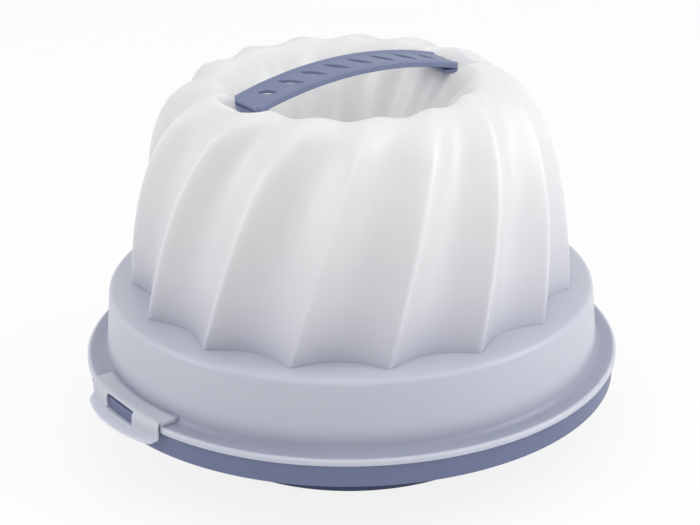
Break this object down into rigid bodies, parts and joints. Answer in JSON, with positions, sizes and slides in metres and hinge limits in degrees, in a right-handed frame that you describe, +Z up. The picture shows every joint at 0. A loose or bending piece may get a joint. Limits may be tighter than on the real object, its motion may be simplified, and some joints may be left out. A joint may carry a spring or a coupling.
{
  "type": "cake carrier",
  "caption": "Round cake carrier: a low tray on a foot ring, a tall hood with twisted flutes and a middle well, snap clips moulded on the hem and an arched carrying handle with grip slots",
  "frame": {"origin": "the middle of the foot ring, on the table", "axes": "+Z up along the carrier's axis; +X along the handle, towards the right clip; +Y across the handle"},
  "size_m": [0.328, 0.31, 0.2192],
  "materials": {
    "blue_plastic": "smooth, half glossy, slate blue",
    "milky_plastic": "milky, slightly see-through",
    "handle_plastic": "smooth, half glossy, slate blue",
    "clip_plastic": "milky, slightly see-through"
  },
  "bodies": {
    "tray": {"base_tray": "blue_plastic"},
    "hood": {"hood": "milky_plastic", "handle": "handle_plastic"},
    "right_clip": {"right_clip": "clip_plastic"},
    "left_clip": {"left_clip": "clip_plastic"}
  },
  "joints": [
    {"name": "hood_lift", "type": "slide", "parent": "tray", "child": "hood", "axis": [0, 0, 1], "range_m": [0, 0.2]},
    {"name": "right_clip_flex", "type": "hinge", "parent": "hood", "child": "right_clip", "pos_m": [0.1505, 0, 0.0533], "axis": [0, -1, 0], "range_deg": [-8, 35], "stiffness_Nm_per_rad": 0.02},
    {"name": "left_clip_flex", "type": "hinge", "parent": "hood", "child": "left_clip", "pos_m": [-0.1505, 0, 0.0533], "axis": [0, 1, 0], "range_deg": [-8, 35], "stiffness_Nm_per_rad": 0.02}
  ]
}
